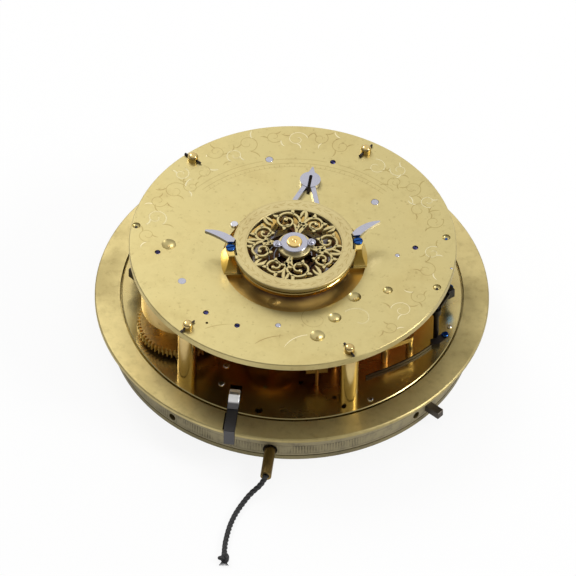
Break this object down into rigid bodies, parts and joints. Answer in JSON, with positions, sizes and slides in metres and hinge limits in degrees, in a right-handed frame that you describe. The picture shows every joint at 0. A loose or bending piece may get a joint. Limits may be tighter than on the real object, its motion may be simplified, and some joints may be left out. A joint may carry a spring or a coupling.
{
  "type": "coach clock movement",
  "caption": "Round verge clock movement lying dial down, with pierced balance cock, engraved plates, hammers, going, alarm and repeating trains, and a pull cord.",
  "frame": {"origin": "axis of the hands, in the plane of the dial bezel's face, which the movement rests on", "axes": "+Z from the dial to the back plate, -Y towards six o'clock, where the pull cord leaves, +X to the right when seen from the back with six o'clock near"},
  "size_m": [0.11, 0.1476, 0.0406],
  "materials": {
    "pale_brass": "polished pale gilt brass",
    "rim_brass": "turned and milled, slightly aged",
    "gilt_brass": "polished, bright gilt",
    "polished_steel": "bright polished",
    "blued_steel": "heat blued, polished",
    "dark_steel": "dark, oiled",
    "spring_steel": "tempered, satin",
    "enamel": "fired white enamel, glossy",
    "silk_cord": "black plaited cord"
  },
  "bodies": {
    "frame": {"edge_ring": "rim_brass", "dial_bezel": "pale_brass", "dial": "enamel", "pillar_plate": "pale_brass", "pillars": "pale_brass", "pillar_pins": "dark_steel", "back_plate": "pale_brass", "blued_plate_screws": "blued_steel", "steel_plate_studs": "polished_steel", "raised_stud": "polished_steel", "balance_cock": "gilt_brass", "cock_screws": "blued_steel", "endstone_plate": "polished_steel", "endstone_screws": "polished_steel", "endstone_setting": "gilt_brass", "steel_horns": "polished_steel", "hairspring": "spring_steel", "potence": "gilt_brass", "counter_potence": "gilt_brass", "going_barrel_arbor": "polished_steel", "alarm_barrel_arbor": "polished_steel", "minute_wheel_stud": "polished_steel", "hammer_spring": "dark_steel", "hammer_spring_screw": "blued_steel", "pillar_plate_screws": "blued_steel", "rack_bridge": "gilt_brass", "cord_tube": "gilt_brass", "pulley_stud": "polished_steel"},
    "balance": {"balance_wheel": "gilt_brass", "balance_staff": "polished_steel"},
    "regulator": {"regulator": "polished_steel"},
    "going_barrel": {"going_barrel": "gilt_brass", "going_mainspring": "spring_steel"},
    "centre": {"centre_arbor": "polished_steel", "centre_wheel": "gilt_brass", "cannon_pinion": "polished_steel", "minute_hand": "blued_steel"},
    "third": {"third_wheel": "gilt_brass"},
    "contrate": {"contrate_wheel": "gilt_brass"},
    "crown": {"crown_wheel": "gilt_brass"},
    "minute": {"minute_wheel": "gilt_brass"},
    "hour": {"hour_wheel": "gilt_brass", "hour_hand": "blued_steel"},
    "alarm_barrel": {"alarm_barrel": "gilt_brass", "alarm_mainspring": "spring_steel"},
    "alarm_second": {"alarm_second_wheel": "gilt_brass"},
    "repeat_first": {"repeat_first_wheel": "gilt_brass"},
    "repeat_second": {"repeat_second_wheel": "gilt_brass"},
    "repeat_third": {"repeat_third_wheel": "gilt_brass"},
    "fly": {"fly": "gilt_brass"},
    "pulley": {"cord_pulley": "gilt_brass"},
    "pull_cord": {"inner_cord": "silk_cord", "pull_cord": "silk_cord", "cord_knot": "silk_cord"},
    "latch_bolt": {"latch_bolt": "polished_steel"},
    "push_piece": {"push_piece": "polished_steel"},
    "hour_hammer": {"hour_hammer": "dark_steel"},
    "quarter_hammer": {"quarter_hammer": "blued_steel"},
    "alarm_hammer": {"alarm_hammer": "dark_steel"}
  },
  "joints": [
    {"name": "balance_swing", "type": "hinge", "parent": "frame", "child": "balance", "pos_m": [0.001, -0.00531, 0.035], "axis": [0, 0, 1], "range_deg": [-60, 60], "stiffness_Nm_per_rad": 0.0002},
    {"name": "regulator_turn", "type": "hinge", "parent": "frame", "child": "regulator", "pos_m": [0.001, -0.00531, 0.033], "axis": [0, 0, 1], "range_deg": [-22, 22]},
    {"name": "contrate_spin", "type": "hinge", "parent": "frame", "child": "contrate", "pos_m": [-0.00278, -0.02112, 0.0219], "axis": [0, 0, 1], "continuous": true},
    {"name": "third_spin", "type": "hinge", "parent": "frame", "child": "third", "pos_m": [0.00499, -0.01351, 0.0219], "axis": [0, 0, 1], "continuous": true},
    {"name": "centre_spin", "type": "hinge", "parent": "frame", "child": "centre", "pos_m": [0, 0, 0.0219], "axis": [0, 0, 1], "continuous": true},
    {"name": "going_barrel_spin", "type": "hinge", "parent": "frame", "child": "going_barrel", "pos_m": [-0.00692, 0.01804, 0.0219], "axis": [0, 0, 1], "continuous": true},
    {"name": "crown_spin", "type": "hinge", "parent": "frame", "child": "crown", "pos_m": [0.0001, -0.0091, 0.0253], "axis": [-0.2327, -0.9726, 0], "continuous": true},
    {"name": "minute_spin", "type": "hinge", "parent": "frame", "child": "minute", "pos_m": [-0.00727, 0.0042, 0.0107], "axis": [0, 0, 1], "continuous": true},
    {"name": "hour_spin", "type": "hinge", "parent": "frame", "child": "hour", "pos_m": [0, 0, 0.0024], "axis": [0, 0, 1], "continuous": true},
    {"name": "alarm_barrel_spin", "type": "hinge", "parent": "frame", "child": "alarm_barrel", "pos_m": [-0.02891, -0.01751, 0.0219], "axis": [0, 0, 1], "continuous": true},
    {"name": "alarm_second_spin", "type": "hinge", "parent": "frame", "child": "alarm_second", "pos_m": [-0.03424, -0.00413, 0.0219], "axis": [0, 0, 1], "continuous": true},
    {"name": "repeat_third_spin", "type": "hinge", "parent": "frame", "child": "repeat_third", "pos_m": [0.01479, -0.02582, 0.0219], "axis": [0, 0, 1], "continuous": true},
    {"name": "repeat_first_spin", "type": "hinge", "parent": "frame", "child": "repeat_first", "pos_m": [0.02818, -0.01362, 0.0219], "axis": [0, 0, 1], "continuous": true},
    {"name": "repeat_second_spin", "type": "hinge", "parent": "frame", "child": "repeat_second", "pos_m": [0.01932, -0.01735, 0.0219], "axis": [0, 0, 1], "continuous": true},
    {"name": "fly_spin", "type": "hinge", "parent": "frame", "child": "fly", "pos_m": [0.01082, -0.03324, 0.0219], "axis": [0, 0, 1], "continuous": true},
    {"name": "pulley_turn", "type": "hinge", "parent": "frame", "child": "pulley", "pos_m": [-0.0032, -0.036, 0.0038], "axis": [0, 0, -1], "range_deg": [0, 179], "stiffness_Nm_per_rad": 0.001},
    {"name": "pull_cord_slide", "type": "slide", "parent": "frame", "child": "pull_cord", "axis": [0, -1, 0], "range_m": [0, 0.01]},
    {"name": "latch_bolt_slide", "type": "slide", "parent": "frame", "child": "latch_bolt", "axis": [0, 1, 0], "range_m": [0, 0.0025], "stiffness_N_per_m": 150},
    {"name": "push_piece_slide", "type": "slide", "parent": "frame", "child": "push_piece", "axis": [-0.8211, 0.5707, 0], "range_m": [0, 0.0016], "stiffness_N_per_m": 200},
    {"name": "hour_hammer_swing", "type": "hinge", "parent": "frame", "child": "hour_hammer", "pos_m": [0.04163, -0.01077, 0.0219], "axis": [0, 0, 1], "range_deg": [-8, 0], "stiffness_Nm_per_rad": 0.001},
    {"name": "quarter_hammer_swing", "type": "hinge", "parent": "frame", "child": "quarter_hammer", "pos_m": [0.04207, 0.00841, 0.0219], "axis": [0, 0, 1], "range_deg": [0, 8], "stiffness_Nm_per_rad": 0.001},
    {"name": "alarm_hammer_swing", "type": "hinge", "parent": "frame", "child": "alarm_hammer", "pos_m": [-0.04406, 0.00185, 0.0219], "axis": [0, 0, 1], "range_deg": [-8, 0], "stiffness_Nm_per_rad": 0.001}
  ],
  "couplings": [
    {"joint": "third_spin", "follows": "contrate_spin", "ratio": -0.13333},
    {"joint": "centre_spin", "follows": "contrate_spin", "ratio": 0.014815},
    {"joint": "going_barrel_spin", "follows": "contrate_spin", "ratio": -0.0022222},
    {"joint": "minute_spin", "follows": "contrate_spin", "ratio": -0.0049383},
    {"joint": "hour_spin", "follows": "contrate_spin", "ratio": 0.0012346},
    {"joint": "crown_spin", "follows": "contrate_spin", "ratio": -7},
    {"joint": "alarm_second_spin", "follows": "alarm_barrel_spin", "ratio": -5},
    {"joint": "repeat_second_spin", "follows": "repeat_third_spin", "ratio": -0.14815},
    {"joint": "repeat_first_spin", "follows": "repeat_third_spin", "ratio": 0.021948},
    {"joint": "fly_spin", "follows": "repeat_third_spin", "ratio": -8},
    {"joint": "pull_cord_slide", "follows": "pulley_turn", "m_per_rad": 0.0032}
  ]
}
